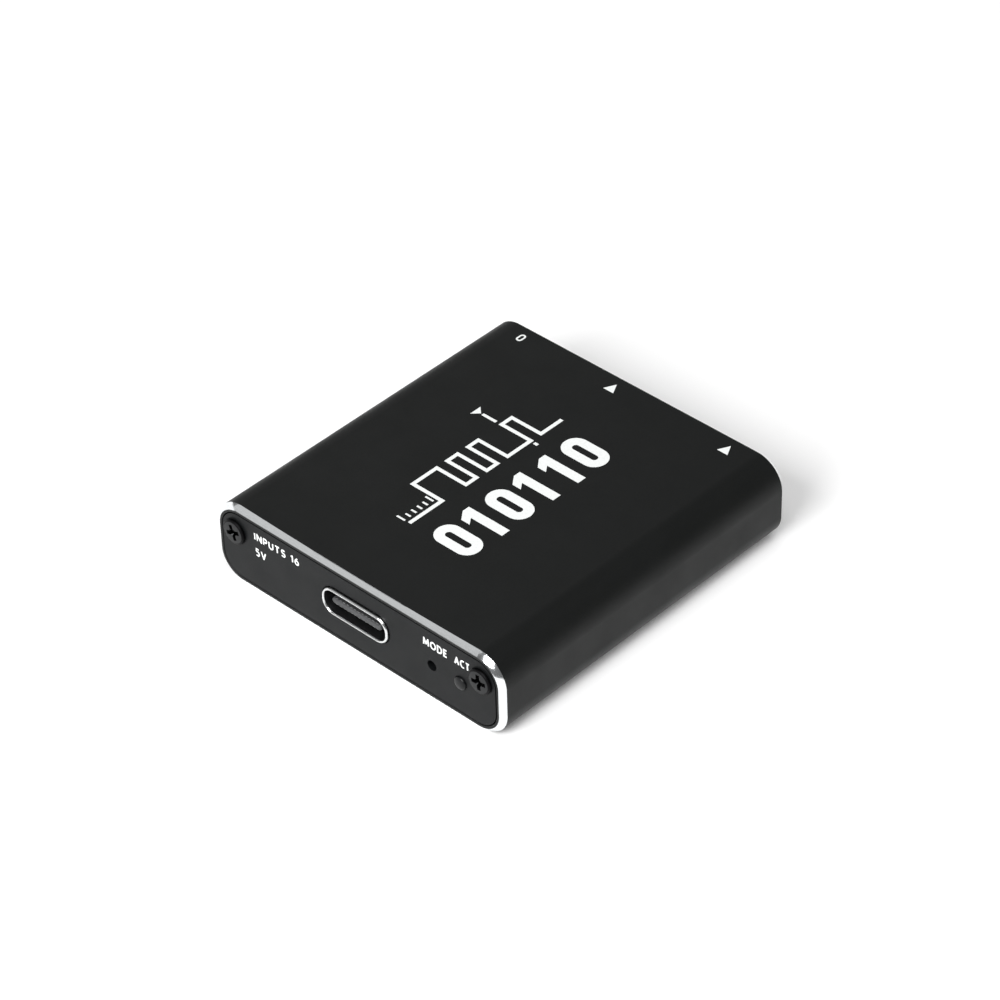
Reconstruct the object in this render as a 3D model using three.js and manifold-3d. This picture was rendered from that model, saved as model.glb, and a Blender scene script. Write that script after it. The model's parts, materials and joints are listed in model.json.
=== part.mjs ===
// A pocket logic analyzer: an extruded aluminium tube closed by two end panels, with one board inside.
// Units are millimetres. +X is right as seen from the USB end, +Y runs to the probe header, +Z is up.
// The origin is the middle of the underside.

import * as THREE from 'three';
import { mergeVertices } from 'three/addons/utils/BufferGeometryUtils.js';
import Module from 'manifold-3d';

const wasm = await Module();
wasm.setup();

// ---------------------------------------------------------------- driving dimensions

const body = { width: 39, depth: 41.2, height: 9.75, corner: 3.3, chamfer: 0.54, wall: 0.85 };
const front = -body.depth / 2;
const rear = body.depth / 2;

const panel = { thickness: 1.5, inset: 0.98 };
const fit = 0.1;

const screw = {
  x: 16.7,
  z: 6.55,
  shank: 0.75,
  length: 5.5,
  rise: 0.42,
  frontHead: 1.45,
  rearHead: 1.25,
  portWall: 0.43,
};

const board = { halfWidth: 18, thickness: 1.6, top: 3.58, endGap: 0.2 };
const rail = { reach: 1.45, lip: 0.7 };

const usb = {
  width: 8.94,
  height: 3.26,
  wall: 0.3,
  length: 7.35,
  proud: 0.3,
  z: 5.21,
  tongueWidth: 6.7,
  tongueThickness: 0.7,
  tongueSetback: 0.36,
};

const mode = { x: 10.2, z: 4.62, pinhole: 0.6, width: 4, travel: 0.25, restGap: 0.25 };
const act = { x: 14.0, z: 4.68, hole: 0.8, proud: 0.1 };

const header = { columns: 12, pitch: 2.54, pin: 0.64, thickness: 2.5, reach: 6, setback: 0.2 };
const fpga = { y: -1.6, size: 9, height: 1.1 };

// How far a part's feet stand over the board, and the solder under a chip.
const seat = 0.03;
const solder = 0.05;

// How far a hole runs past the faces it pierces, and the straight side that an oval opening keeps.
const through = 1;
const straight = 0.01;

// ---------------------------------------------------------------- solids

const roundSides = 24;
const smallSides = 16;

function toSolid(geometry) {
  const bare = geometry.clone();
  bare.deleteAttribute('normal');
  bare.deleteAttribute('uv');
  const merged = mergeVertices(bare, 1e-5);
  const vertProperties = new Float32Array(merged.attributes.position.array);
  const triVerts = new Uint32Array(merged.index.array);
  return new wasm.Manifold(new wasm.Mesh({ numProp: 3, vertProperties, triVerts }));
}

function toGeometry(solid) {
  const mesh = solid.getMesh();
  const geometry = new THREE.BufferGeometry();
  geometry.setAttribute('position', new THREE.BufferAttribute(new Float32Array(mesh.vertProperties), 3));
  geometry.setIndex(new THREE.BufferAttribute(new Uint32Array(mesh.triVerts), 1));
  geometry.computeVertexNormals();
  return geometry;
}

function join(...pieces) {
  return pieces.reduce((whole, piece) => whole.add(piece));
}

function cut(whole, ...tools) {
  return whole.subtract(join(...tools));
}

// A block between two corners.
function block(x0, x1, y0, y1, z0, z1) {
  const geometry = new THREE.BoxGeometry(x1 - x0, y1 - y0, z1 - z0);
  geometry.translate((x0 + x1) / 2, (y0 + y1) / 2, (z0 + z1) / 2);
  return toSolid(geometry);
}

// A round bar along Y.
function barY(x, z, radius, y0, y1, sides = roundSides) {
  const geometry = new THREE.CylinderGeometry(radius, radius, y1 - y0, sides);
  geometry.translate(x, (y0 + y1) / 2, z);
  return toSolid(geometry);
}

// A round bar along Z.
function barZ(x, y, radius, z0, z1, sides = smallSides) {
  const geometry = new THREE.CylinderGeometry(radius, radius, z1 - z0, sides);
  geometry.rotateX(Math.PI / 2);
  geometry.translate(x, y, (z0 + z1) / 2);
  return toSolid(geometry);
}

// A rectangle with round corners, drawn in X and Z. Its height may be all corner, as on a slot.
function roundedRect(width, height, radius, x = 0, z = 0) {
  const right = width / 2 - radius;
  const top = height / 2 - radius;
  const shape = new THREE.Shape();
  shape.absarc(x + right, z + top, radius, 0, Math.PI / 2);
  shape.absarc(x - right, z + top, radius, Math.PI / 2, Math.PI);
  shape.absarc(x - right, z - top, radius, Math.PI, Math.PI * 1.5);
  shape.absarc(x + right, z - top, radius, Math.PI * 1.5, Math.PI * 2);
  shape.closePath();
  return shape;
}

// A profile drawn in X and Z, run along Y, with an optional 45 degree chamfer at both ends.
function alongY(shape, y0, y1, { chamfer = 0, segments = 6 } = {}) {
  const geometry = new THREE.ExtrudeGeometry(shape, {
    depth: y1 - y0 - 2 * chamfer,
    curveSegments: segments,
    bevelEnabled: chamfer > 0,
    bevelSize: chamfer,
    bevelOffset: -chamfer,
    bevelThickness: chamfer,
    bevelSegments: 1,
  });
  geometry.rotateX(Math.PI / 2);
  geometry.translate(0, y1 - chamfer, 0);
  return toSolid(geometry);
}

// A profile drawn in Y and Z, run along X.
function alongX(shape, x0, x1) {
  const geometry = new THREE.ExtrudeGeometry(shape, { depth: x1 - x0, bevelEnabled: false });
  geometry.rotateX(Math.PI / 2);
  geometry.rotateZ(Math.PI / 2);
  geometry.translate(x0, 0, 0);
  return toSolid(geometry);
}

// A profile drawn in X and Y, run along Z, with an optional chamfer on its top and bottom edges.
function alongZ(shape, z0, z1, chamfer = 0) {
  const geometry = new THREE.ExtrudeGeometry(shape, {
    depth: z1 - z0 - 2 * chamfer,
    curveSegments: 2,
    bevelEnabled: chamfer > 0,
    bevelSize: chamfer,
    bevelOffset: -chamfer,
    bevelThickness: chamfer,
    bevelSegments: 1,
  });
  geometry.translate(0, 0, z0 + chamfer);
  return toSolid(geometry);
}

function polygon(points) {
  return new THREE.Shape(points.map(([u, v]) => new THREE.Vector2(u, v)));
}

// ---------------------------------------------------------------- assembly

const analyzer = new THREE.Group();

function add(name, solid, color, roughness, metalness) {
  const material = new THREE.MeshStandardMaterial({ color, roughness, metalness });
  const mesh = new THREE.Mesh(toGeometry(solid), material);
  mesh.name = name;
  analyzer.add(mesh);
}

const blackAnodised = [0x262827, 0.45, 0.6];
const darkPanel = [0x3a3c3d, 0.55, 0.4];
const blackSteel = [0x2b2c2d, 0.35, 0.8];
const stainless = [0xc9cccd, 0.25, 1.0];
const blackPlastic = [0x17181a, 0.6, 0.0];
const chipPlastic = [0x1e1f21, 0.7, 0.0];
const gold = [0xd8b25a, 0.25, 1.0];
const tin = [0xb9bcbe, 0.35, 1.0];

// ---------------------------------------------------------------- housing

// The bosses and board rails stop short of both ends, where the end panels sit against them.
function makeHousing() {
  const innerEnd = rear - panel.thickness - fit / 2;
  const middle = body.height / 2;
  const skin = roundedRect(body.width, body.height, body.corner, 0, middle);
  const outside = alongY(skin, front, rear, { chamfer: body.chamfer });
  const cavity = alongY(
    roundedRect(
      body.width - 2 * body.wall,
      body.height - 2 * body.wall,
      body.corner - body.wall,
      0,
      middle,
    ),
    front - through,
    rear + through,
  );
  const innerX = body.width / 2 - body.wall;
  const wallX = body.width / 2 - body.wall / 2;
  const wallTop = body.height - body.wall / 2;
  const boardBottom = board.top - board.thickness;
  const portRadius = screw.shank + fit;
  const bossRadius = portRadius + screw.portWall;
  const features = [];
  const ports = [];
  for (const side of [-1, 1]) {
    const fromWall = (x) => [Math.min(side * x, side * wallX), Math.max(side * x, side * wallX)];
    const [railIn, railOut] = fromWall(innerX - rail.reach);
    features.push(block(railIn, railOut, -innerEnd, innerEnd, body.wall / 2, boardBottom - fit));
    features.push(block(railIn, railOut, -innerEnd, innerEnd, board.top + fit, board.top + fit + rail.lip));

    const [bossIn, bossOut] = fromWall(screw.x);
    const x = side * screw.x;
    features.push(barY(x, screw.z, bossRadius, -innerEnd, innerEnd));
    features.push(block(bossIn, bossOut, -innerEnd, innerEnd, screw.z - bossRadius, screw.z + bossRadius));
    features.push(block(x - bossRadius, x + bossRadius, -innerEnd, innerEnd, screw.z, wallTop));

    // The screw port is open towards the middle of the case, as extruded ports are.
    const slotHalf = portRadius * 0.5;
    const slotEnd = side * (screw.x - bossRadius - fit);
    ports.push(barY(x, screw.z, portRadius, front, rear, smallSides));
    ports.push(
      block(Math.min(slotEnd, x), Math.max(slotEnd, x), front, rear, screw.z - slotHalf, screw.z + slotHalf),
    );
  }
  const inside = cut(join(...features).intersect(outside), ...ports);
  return join(outside.subtract(cavity), inside);
}

// ---------------------------------------------------------------- end panels

function panelBlank(y0) {
  const width = body.width - 2 * panel.inset;
  const height = body.height - 2 * panel.inset;
  const shape = roundedRect(width, height, body.corner - panel.inset, 0, body.height / 2);
  return alongY(shape, y0, y0 + panel.thickness);
}

function screwHoles(y0) {
  const radius = screw.shank + 2 * fit;
  return [-1, 1].map((side) =>
    barY(side * screw.x, screw.z, radius, y0 - through, y0 + panel.thickness + through, smallSides),
  );
}

function makeFrontPanel() {
  const y0 = front - through;
  const y1 = front + panel.thickness + through;
  const slotHeight = usb.height + 3 * fit;
  const slot = roundedRect(usb.width + 3 * fit, slotHeight, slotHeight / 2 - straight, 0, usb.z);
  return cut(
    panelBlank(front),
    ...screwHoles(front),
    alongY(slot, y0, y1),
    barY(mode.x, mode.z, mode.pinhole, y0, y1),
    barY(act.x, act.z, act.hole, y0, y1),
  );
}

// The probe window is as wide as a full row of single-pin plugs, and open to the tube's top wall.
function makeRearPanel() {
  const start = rear - panel.thickness;
  const halfWindow = (header.columns * header.pitch) / 2 + fit;
  const bottom = board.top - fit;
  const window = block(-halfWindow, halfWindow, start - through, rear + through, bottom, body.height);
  return cut(panelBlank(start), ...screwHoles(start), window);
}

// ---------------------------------------------------------------- screws

// A pan head with a cross recess and a plain shank. It is made pointing along -Y, then placed.
function makeScrew(headRadius) {
  const topRadius = headRadius * 0.78;
  const shoulder = screw.rise * 0.75;
  const underside = 0.02;
  const rim = 0.06;
  const taper = 0.3;
  const profile = [
    [0, -screw.length],
    [screw.shank - taper, -screw.length],
    [screw.shank, -screw.length + taper],
    [screw.shank, underside],
    [headRadius - rim, underside],
    [headRadius, underside + rim],
    [headRadius * 0.94, shoulder * 0.7],
    [topRadius, shoulder],
    [topRadius * 0.55, screw.rise - underside],
    [0, screw.rise],
  ].map(([radius, height]) => new THREE.Vector2(radius, height));
  const turned = toSolid(new THREE.LatheGeometry(profile, roundSides));

  const armLength = headRadius * 0.56;
  const armHalf = headRadius * 0.13;
  const floor = -0.35;
  const above = screw.rise + through;
  const arm = (halfX, halfZ) => {
    const geometry = new THREE.BoxGeometry(2 * halfX, above - floor, 2 * halfZ);
    geometry.translate(0, (above + floor) / 2, 0);
    return toSolid(geometry);
  };
  const coneDepth = 0.5;
  const coneTip = 0.02;
  const cone = new THREE.CylinderGeometry(headRadius * 0.36, coneTip, coneDepth, smallSides);
  cone.translate(0, screw.rise - coneDepth / 2 + coneTip, 0);
  return cut(turned, arm(armLength, armHalf), arm(armHalf, armLength), toSolid(cone));
}

function placeScrew(solid, side, end, turn) {
  const geometry = toGeometry(solid);
  geometry.rotateY(turn);
  geometry.rotateX(end < 0 ? Math.PI : 0);
  geometry.translate(side * screw.x, end, screw.z);
  return toSolid(geometry);
}

// ---------------------------------------------------------------- board

function pinRows() {
  const bodyBack = rear - header.setback - header.reach - header.thickness;
  const low = board.top + seat + header.pitch / 2;
  return [
    { row: 'low', z: low, legY: bodyBack - header.pitch / 2 },
    { row: 'high', z: low + header.pitch, legY: bodyBack - header.pitch * 1.5 },
  ];
}

function columnX(column) {
  return (column - (header.columns - 1) / 2) * header.pitch;
}

const usbLeg = { x: usb.width / 2 - usb.wall / 2, length: 1.1, tail: 0.4, ys: [3.0, 6.2] };

function makeBoard() {
  const halfLength = rear - panel.thickness - board.endGap;
  const bottom = board.top - board.thickness;
  const below = bottom - through;
  const above = board.top + through;
  const holes = [];
  for (const { legY } of pinRows()) {
    for (let column = 0; column < header.columns; column += 1) {
      holes.push(barZ(columnX(column), legY, header.pin * 0.8, below, above, 8));
    }
  }
  for (const side of [-1, 1]) {
    for (const y of usbLeg.ys) {
      const x = side * usbLeg.x;
      const middle = front - usb.proud + y;
      const halfX = usb.wall / 2 + fit;
      const halfY = usbLeg.length / 2 + fit;
      holes.push(block(x - halfX, x + halfX, middle - halfY, middle + halfY, below, above));
    }
  }
  const plate = block(-board.halfWidth, board.halfWidth, -halfLength, halfLength, bottom, board.top);
  return cut(plate, ...holes);
}

// ---------------------------------------------------------------- USB receptacle

function makeUsbShell() {
  const y0 = front - usb.proud;
  const y1 = y0 + usb.length;
  const outerRadius = usb.height / 2 - straight;
  const outer = alongY(roundedRect(usb.width, usb.height, outerRadius, 0, usb.z), y0, y1);
  const innerWidth = usb.width - 2 * usb.wall;
  const innerHeight = usb.height - 2 * usb.wall;
  const inner = roundedRect(innerWidth, innerHeight, innerHeight / 2 - straight, 0, usb.z);
  const legs = [];
  for (const side of [-1, 1]) {
    for (const y of usbLeg.ys) {
      const x = side * usbLeg.x;
      const halfX = usb.wall / 2;
      const middle = y0 + y;
      const foot = board.top - board.thickness - usbLeg.tail;
      const start = middle - usbLeg.length / 2;
      legs.push(block(x - halfX, x + halfX, start, start + usbLeg.length, foot, usb.z));
    }
  }
  return cut(join(outer, ...legs), alongY(inner, y0 - through, y1 + through));
}

// The moulded core: a block that closes the back of the shell, and the thin tongue in front of it.
function makeUsbTongue() {
  const y0 = front - usb.proud;
  const y1 = y0 + usb.length;
  const coreStart = y0 + 5;
  const shoulderStart = coreStart - 0.8;
  const coreWidth = usb.width - 2 * usb.wall - fit;
  const coreHeight = usb.height - 2 * usb.wall - fit;
  const core = roundedRect(coreWidth, coreHeight, coreHeight / 2 - straight, 0, usb.z);
  const shoulder = roundedRect(usb.tongueWidth + 0.5, usb.tongueThickness + 0.6, 0.3, 0, usb.z);
  const tongue = roundedRect(usb.tongueWidth, usb.tongueThickness, 0.2, 0, usb.z);
  return join(
    alongY(core, coreStart, y1, { segments: 4 }),
    alongY(shoulder, shoulderStart, y1, { segments: 2 }),
    alongY(tongue, y0 + usb.tongueSetback, y1, { segments: 2 }),
  );
}

// ---------------------------------------------------------------- mode switch

const modeSwitch = {
  start: front + panel.thickness + 1.15,
  depth: 2.8,
  height: 1.86,
  wall: 0.45,
  frame: 0.15,
  stemHalf: 0.8,
  stemHeight: 1.2,
  flangeHalf: 1.2,
  flange: 0.5,
};

function makeSwitchBase() {
  const { start, depth, height, wall, stemHalf, stemHeight, flangeHalf } = modeSwitch;
  const bottom = board.top + seat;
  const half = mode.width / 2;
  const open = bottom + height + through;
  const blank = block(mode.x - half, mode.x + half, start, start + depth, bottom, bottom + height);
  const bayHalf = flangeHalf + fit;
  const bayFloor = mode.z - stemHeight / 2 - 2 * fit;
  const bay = block(mode.x - bayHalf, mode.x + bayHalf, start + wall, start + depth - wall, bayFloor, open);
  const slotHalf = stemHalf + fit / 2;
  const slot = block(mode.x - slotHalf, mode.x + slotHalf, start - through, start + 2 * wall, bayFloor, open);
  return cut(blank, bay, slot);
}

// A stamped channel over the base, with its flanks turned down beside it.
function makeSwitchFrame() {
  const { start, depth, height, frame } = modeSwitch;
  const inner = mode.width / 2 + fit / 2;
  const outer = inner + frame;
  const under = board.top + seat + height + fit / 2;
  const foot = board.top + 0.3;
  const channel = polygon([
    [mode.x - outer, foot],
    [mode.x - inner, foot],
    [mode.x - inner, under],
    [mode.x + inner, under],
    [mode.x + inner, foot],
    [mode.x + outer, foot],
    [mode.x + outer, under + frame],
    [mode.x - outer, under + frame],
  ]);
  return alongY(channel, start, start + depth);
}

function makePlunger() {
  const { start, wall, stemHalf, stemHeight, flangeHalf } = modeSwitch;
  const tip = front + panel.thickness + mode.restGap;
  const flangeStart = start + wall + fit;
  const flangeEnd = flangeStart + modeSwitch.flange;
  const bottom = mode.z - stemHeight / 2;
  const stem = block(mode.x - stemHalf, mode.x + stemHalf, tip, flangeEnd, bottom, bottom + stemHeight);
  const flangeTop = board.top + seat + modeSwitch.height - fit;
  const flange = block(mode.x - flangeHalf, mode.x + flangeHalf, flangeStart, flangeEnd, bottom, flangeTop);
  return join(stem, flange);
}

// The snap spring is an arched leaf behind the plunger. Its crown clears the fully pressed plunger.
function makeSwitchSpring() {
  const { start, depth, wall, flangeHalf, stemHeight } = modeSwitch;
  const leaf = 0.1;
  const back = start + depth - wall - fit / 2;
  const pressed = start + wall + fit + modeSwitch.flange + mode.travel;
  const crown = pressed + fit / 2 + leaf;
  const sag = back - crown;
  const half = flangeHalf;
  const radius = (half * half + sag * sag) / (2 * sag);
  const sweep = Math.asin(half / radius);
  const shape = new THREE.Shape();
  const centreY = crown + radius;
  const down = -Math.PI / 2;
  shape.absarc(mode.x, centreY, radius, down - sweep, down + sweep, false);
  shape.absarc(mode.x, centreY, radius + leaf, down + sweep, down - sweep, true);
  shape.closePath();
  const bottom = mode.z - stemHeight / 2;
  return alongZ(shape, bottom, bottom + stemHeight - fit);
}

// ---------------------------------------------------------------- activity light

const led = { width: 1.6, depth: 0.8, height: 0.6, y: front + panel.thickness + 2 };

function makeLed() {
  const bottom = board.top + seat;
  const shape = roundedRect(led.width, led.depth, 0.15, act.x, led.y);
  return alongZ(shape, bottom, bottom + led.height);
}

// A right-angle light pipe: a round nose in the panel, and a block with a sloped mirror over the LED.
function makeLightPipe() {
  const noseRadius = act.hole - fit / 2;
  const bottom = board.top + seat + led.height + 1.5 * fit;
  const top = act.z + noseRadius;
  const start = led.y - noseRadius;
  const root = 0.15;
  const nose = barY(act.x, act.z, noseRadius, front - act.proud, start + root, smallSides);
  const end = led.y + noseRadius;
  const blockHalf = 1.3;
  const skirt = bottom + 0.2;
  const prism = polygon([
    [start, bottom],
    [end, bottom],
    [end, skirt],
    [end - (top - skirt), top],
    [start, top],
  ]);
  const legWidth = 0.3;
  const legEnd = end - 0.4;
  const legs = [-1, 1].map((side) => {
    const outer = act.x + side * blockHalf;
    const inner = outer - side * legWidth;
    const foot = board.top + seat;
    return block(Math.min(outer, inner), Math.max(outer, inner), start, legEnd, foot, skirt);
  });
  return join(nose, alongX(prism, act.x - blockHalf, act.x + blockHalf), ...legs);
}

// ---------------------------------------------------------------- probe header

// Each column is its own octagonal cell, so the long edges show a shallow V between columns.
function makeHeaderBody() {
  const front0 = rear - header.setback - header.reach - header.thickness;
  const halfWidth = (header.columns * header.pitch) / 2;
  const bottom = board.top + seat;
  const top = bottom + 2 * header.pitch;
  const bevel = 0.35;
  const shape = new THREE.Shape();
  const lower = [];
  const upper = [];
  for (let column = 0; column < header.columns; column += 1) {
    const left = -halfWidth + column * header.pitch;
    const right = left + header.pitch;
    lower.push([left, bottom + bevel], [left + bevel, bottom], [right - bevel, bottom]);
    upper.push([left + bevel, top], [right - bevel, top], [right, top - bevel]);
  }
  lower.push([halfWidth, bottom + bevel]);
  upper.unshift([-halfWidth, top - bevel]);
  const outline = [...lower, ...upper.reverse()];
  shape.setFromPoints(outline.map(([x, z]) => new THREE.Vector2(x, z)));
  const half = header.pin / 2 + seat;
  const holes = [];
  for (const { z } of pinRows()) {
    for (let column = 0; column < header.columns; column += 1) {
      const x = columnX(column);
      holes.push(block(x - half, x + half, front0 - through, rear, z - half, z + half));
    }
  }
  return cut(alongY(shape, front0, front0 + header.thickness), ...holes);
}

// One bent pin: a horizontal blade to the probe, and a leg down through the board.
function makePin(x, z, legY) {
  const half = header.pin / 2;
  const tipY = rear - header.setback;
  const tail = 0.5;
  const foot = board.top - board.thickness - tail;
  const taper = 0.5;
  const point = half * 0.45;
  const side = polygon([
    [legY - half, foot],
    [legY + half, foot],
    [legY + half, z - half],
    [tipY - taper, z - half],
    [tipY, z - point],
    [tipY, z + point],
    [tipY - taper, z + half],
    [legY, z + half],
    [legY - half, z],
  ]);
  const plan = polygon([
    [x - half, legY - through],
    [x + half, legY - through],
    [x + half, tipY - taper],
    [x + point, tipY],
    [x - point, tipY],
    [x - half, tipY - taper],
  ]);
  return alongX(side, x - half, x + half).intersect(alongZ(plan, foot - through, z + through));
}

// ---------------------------------------------------------------- board parts

// A moulded package with chamfered edges and a round pin-one mark.
function makePackage(x, y, width, depth, height) {
  const bottom = board.top + solder;
  const shape = roundedRect(width, depth, 0.12, x, y);
  const edge = 0.08;
  const mark = 0.3;
  const inset = 0.75;
  const dot = barZ(
    x - width / 2 + inset,
    y - depth / 2 + inset,
    mark,
    bottom + height - edge,
    bottom + height + through,
    12,
  );
  return cut(alongZ(shape, bottom, bottom + height, edge), dot);
}

// A package with bent leads on its two long sides.
function makeLeadedPackage(x, y, width, depth, height, leadsPerSide) {
  const leadPitch = 0.65;
  const leadWidth = 0.28;
  const leadThickness = 0.16;
  const reach = 0.7;
  const bottom = board.top + solder;
  const shoulder = bottom + height / 2;
  const pieces = [makePackage(x, y, width, depth, height)];
  for (let lead = 0; lead < leadsPerSide; lead += 1) {
    const middle = x + (lead - (leadsPerSide - 1) / 2) * leadPitch;
    for (const side of [-1, 1]) {
      const root = y + side * (depth / 2 - 0.1);
      const knee = y + side * (depth / 2 + 0.25);
      const toe = y + side * (depth / 2 + reach);
      const outline = polygon([
        [root, shoulder],
        [knee + side * leadThickness, shoulder],
        [knee + side * leadThickness, bottom + leadThickness],
        [toe, bottom + leadThickness],
        [toe, bottom],
        [knee, bottom],
        [knee, shoulder - leadThickness],
        [root, shoulder - leadThickness],
      ]);
      pieces.push(alongX(outline, middle - leadWidth / 2, middle + leadWidth / 2));
    }
  }
  return join(...pieces);
}

// A moulded power inductor: a block with cut corners.
function makeInductor(x, y, size, height) {
  const half = size / 2;
  const corner = size * 0.16;
  const shape = polygon([
    [x - half + corner, y - half],
    [x + half - corner, y - half],
    [x + half, y - half + corner],
    [x + half, y + half - corner],
    [x + half - corner, y + half],
    [x - half + corner, y + half],
    [x - half, y + half - corner],
    [x - half, y - half + corner],
  ]);
  const bottom = board.top + solder;
  const edge = 0.1;
  return alongZ(shape, bottom, bottom + height, edge);
}

// ---------------------------------------------------------------- the parts in place

add('housing_tube', makeHousing(), ...blackAnodised);
add('front_panel', makeFrontPanel(), ...darkPanel);
add('rear_panel', makeRearPanel(), ...darkPanel);

const frontScrew = makeScrew(screw.frontHead);
const rearScrew = makeScrew(screw.rearHead);
add('front_screw_left', placeScrew(frontScrew, -1, front, 0.35), ...blackSteel);
add('front_screw_right', placeScrew(frontScrew, 1, front, 0.1), ...blackSteel);
add('rear_screw_left', placeScrew(rearScrew, -1, rear, 0.6), ...blackSteel);
add('rear_screw_right', placeScrew(rearScrew, 1, rear, 1.2), ...blackSteel);

add('main_board', makeBoard(), 0x16241c, 0.5, 0.0);
add('usb_shell', makeUsbShell(), ...stainless);
add('usb_tongue', makeUsbTongue(), ...blackPlastic);

add('mode_switch_base', makeSwitchBase(), ...blackPlastic);
add('mode_switch_frame', makeSwitchFrame(), ...tin);
add('mode_plunger', makePlunger(), 0x2a2a2c, 0.6, 0.0);
add('mode_switch_spring', makeSwitchSpring(), ...stainless);

add('act_led', makeLed(), 0xe8e4d0, 0.4, 0.0);
add('act_light_pipe', makeLightPipe(), 0x8a8d90, 0.1, 0.0);

add('header_body', makeHeaderBody(), ...blackPlastic);
for (const { row, z, legY } of pinRows()) {
  for (let column = 0; column < header.columns; column += 1) {
    const number = String(column).padStart(2, '0');
    add(`header_pin_${row}_${number}`, makePin(columnX(column), z, legY), ...gold);
  }
}

add('fpga', makePackage(0, fpga.y, fpga.size, fpga.size, fpga.height), ...chipPlastic);
add('usb_bridge', makePackage(0, -9.2, 5, 5, 0.85), ...chipPlastic);
add('memory_chip', makePackage(-10.2, -1.2, 8, 6, 1.0), ...chipPlastic);
add('flash_chip', makeLeadedPackage(10, -1.5, 5.2, 3.6, 1.3, 4), ...chipPlastic);
add('core_regulator', makePackage(-8.2, -11.4, 3, 3, 0.9), ...chipPlastic);
add('io_regulator', makePackage(-8.2, -7, 3, 3, 0.9), ...chipPlastic);
add('core_inductor', makeInductor(-13, -11.6, 4, 1.9), 0x3c3b39, 0.8, 0.1);
add('io_inductor', makeInductor(-13, -7, 3.2, 1.5), 0x3c3b39, 0.8, 0.1);
add('crystal', makePackage(6.4, -8.6, 3.2, 2.5, 0.8), ...tin);
add('usb_guard_array', makePackage(-0.2, -12.6, 2.5, 1.0, 0.6), ...chipPlastic);
add('supply_fuse', makeInductor(7.4, -12.4, 2.4, 0.8), 0x2f5a38, 0.7, 0.0);
add('bulk_capacitor', makePackage(12.6, -9.6, 3.5, 2.8, 1.9), 0x9a7a2c, 0.6, 0.0);
const bufferXs = [-12, -4, 4, 12];
bufferXs.forEach((x, index) => {
  add(`input_buffer_${index + 1}`, makeLeadedPackage(x, 5, 5, 1.9, 1.0, 6), ...chipPlastic);
});

// The pad carries the heat of the big chip from the underside of the board to the case.
function makeThermalPad() {
  const half = fpga.size / 2 + 0.5;
  const bottom = body.wall + seat;
  const top = board.top - board.thickness - seat;
  return block(-half, half, fpga.y - half, fpga.y + half, bottom, top);
}

add('thermal_pad', makeThermalPad(), 0x9fa6ad, 0.9, 0.0);

export default analyzer;
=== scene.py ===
"""Looks for the pocket logic analyzer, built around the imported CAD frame.

Lengths in this file are millimetres in the row frame: +X right as seen from the USB end,
+Y towards the probe header, +Z up, origin in the middle of the case's underside.
"""

import json
import math

import bmesh
import bpy
from mathutils import Matrix, Vector


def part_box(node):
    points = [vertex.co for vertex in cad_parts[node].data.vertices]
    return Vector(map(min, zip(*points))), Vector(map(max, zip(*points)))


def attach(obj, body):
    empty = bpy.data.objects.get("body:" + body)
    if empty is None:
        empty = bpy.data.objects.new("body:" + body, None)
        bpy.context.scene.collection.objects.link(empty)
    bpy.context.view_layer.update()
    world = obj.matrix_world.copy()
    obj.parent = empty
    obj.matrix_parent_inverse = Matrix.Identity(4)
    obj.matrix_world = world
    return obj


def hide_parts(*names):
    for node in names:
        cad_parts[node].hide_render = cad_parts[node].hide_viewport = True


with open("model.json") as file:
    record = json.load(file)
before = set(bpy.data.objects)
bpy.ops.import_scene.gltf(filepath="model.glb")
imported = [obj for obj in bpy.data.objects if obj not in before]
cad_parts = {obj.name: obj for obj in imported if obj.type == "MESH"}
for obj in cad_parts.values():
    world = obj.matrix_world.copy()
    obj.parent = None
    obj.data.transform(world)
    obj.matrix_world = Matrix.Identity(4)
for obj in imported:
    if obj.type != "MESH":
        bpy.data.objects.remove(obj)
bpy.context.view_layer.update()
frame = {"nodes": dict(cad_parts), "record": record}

MM = 0.001

# ------------------------------------------------------------------ driving dimensions


def node_box(node):
    """Lowest and highest corner of a CAD node, in millimetres."""
    low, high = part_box(node)
    return low / MM, high / MM


CASE_LOW, CASE_HIGH = node_box("housing_tube")
WIDTH = CASE_HIGH.x - CASE_LOW.x
HEIGHT = CASE_HIGH.z - CASE_LOW.z
FRONT = CASE_LOW.y
REAR = CASE_HIGH.y
CORNER = 3.3
CHAMFER = 0.54
EDGE_BREAK = 0.05
WALL = 0.85
CORNER_STEPS = 24
TOP_STEPS = 12

# How far the flat top sinks in the middle of the front edge, and how much of it is left at
# each distance behind the front.
TOP_DIP = 0.11
DIP_FADE = ((2.0, 0.9), (4.0, 0.65), (6.0, 0.35), (8.0, 0.1), (10.0, 0.0))

# The thickness of the print.
PRINT = 0.012

PANEL_BACK = node_box("front_panel")[1].y
PANEL_DEPTH = PANEL_BACK - FRONT
FIT = 0.1

BOARD_LOW, BOARD_HIGH = node_box("main_board")
RAIL_REACH = 1.45
RAIL_LIP = 0.7

# How far a cutting tool runs past the faces it opens.
PAST = 1

SCREW_LOW, SCREW_HIGH = node_box("front_screw_right")
SCREW_X = (SCREW_LOW.x + SCREW_HIGH.x) / 2
SCREW_Z = (SCREW_LOW.z + SCREW_HIGH.z) / 2
SHANK = 0.75
PORT_WALL = 0.43
PORT_RADIUS = SHANK + FIT
BOSS_RADIUS = PORT_RADIUS + PORT_WALL

SHELL_LOW, SHELL_HIGH = node_box("usb_shell")
USB_WIDTH = 8.94
USB_HEIGHT = 3.26
USB_WALL = 0.3
USB_Z = SHELL_HIGH.z - USB_HEIGHT / 2
USB_FRONT = SHELL_LOW.y
USB_BACK = SHELL_HIGH.y
TONGUE_WIDTH = 6.7
TONGUE_THICKNESS = 0.7

LENS_RADIUS = 0.75
LENS_CROWN = 0.24


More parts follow.
